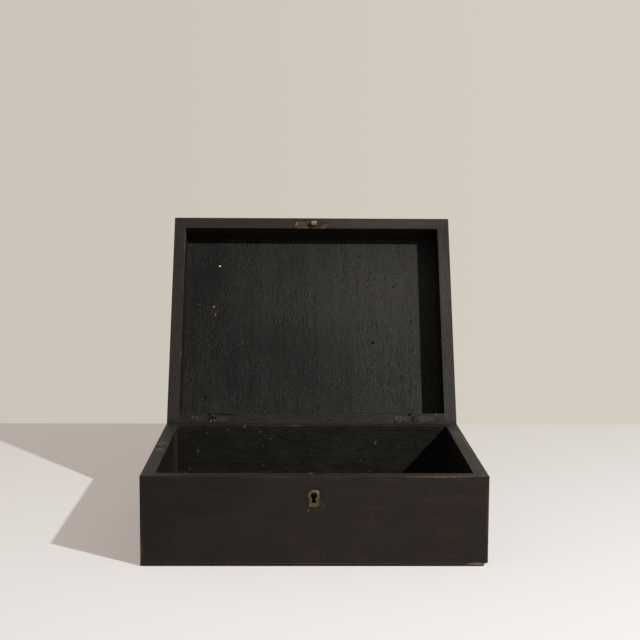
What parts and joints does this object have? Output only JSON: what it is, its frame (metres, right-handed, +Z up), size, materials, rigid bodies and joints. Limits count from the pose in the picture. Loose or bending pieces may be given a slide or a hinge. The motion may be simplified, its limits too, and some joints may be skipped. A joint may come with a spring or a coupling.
{
  "type": "deed box",
  "caption": "Low rectangular wooden box for papers, painted black, with a shallow hinged lid standing open, brass keyhole and an inset lock with a sliding bolt.",
  "frame": {"origin": "centre of the underside of the bottom board, on the surface the box stands on", "axes": "+X to the right along the box's length as seen from the keyhole side, +Y from the front to the hinges, +Z up; the lid is modelled open on its stop"},
  "size_m": [0.33, 0.411, 0.3158],
  "materials": {
    "painted_wood": "black paint over softwood, brushed, satin, worn red-brown along the edges",
    "bottom_wood": "thin bottom board, black paint on its edges",
    "fittings_brass": "old brass, dulled in the hollows",
    "lock_brass": "brass lock, painted over at the rim",
    "hinge_brass": "brass butt hinges under worn black paint",
    "brass_screws": "slotted brass screws, dull",
    "steel": "plain steel, dull",
    "iron_nails": "cut nails, punched flush and painted over"
  },
  "bodies": {
    "box": {"box_front": "painted_wood", "box_back": "painted_wood", "box_left_end": "painted_wood", "box_right_end": "painted_wood", "box_bottom": "bottom_wood", "box_corner_nails": "iron_nails", "box_bottom_nails": "iron_nails", "keyhole_escutcheon": "fittings_brass", "lock_backplate": "lock_brass", "lock_cap": "lock_brass", "lock_drill_pin": "steel", "lock_guide_studs": "steel", "lock_spring": "steel", "lock_screws": "brass_screws", "left_hinge_box_leaf": "hinge_brass", "right_hinge_box_leaf": "hinge_brass", "left_hinge_pin": "steel", "right_hinge_pin": "steel", "box_hinge_screws": "brass_screws"},
    "lid": {"lid_front_rail": "painted_wood", "lid_back_rail": "painted_wood", "lid_left_rail": "painted_wood", "lid_right_rail": "painted_wood", "lid_top_panel": "painted_wood", "lid_corner_nails": "iron_nails", "lid_top_nails": "iron_nails", "link_plate": "fittings_brass", "link_staple": "fittings_brass", "link_plate_screws": "brass_screws", "left_hinge_lid_leaf": "hinge_brass", "right_hinge_lid_leaf": "hinge_brass", "lid_hinge_screws": "brass_screws"},
    "bolt": {"lock_bolt": "steel"}
  },
  "joints": [
    {"name": "lid_hinge", "type": "hinge", "parent": "box", "child": "lid", "pos_m": [0, 0.1277, 0.0872], "axis": [1, 0, 0], "range_deg": [0, 117]},
    {"name": "lock_bolt_slide", "type": "slide", "parent": "box", "child": "bolt", "axis": [1, 0, 0], "range_m": [0, 0.0076]}
  ]
}
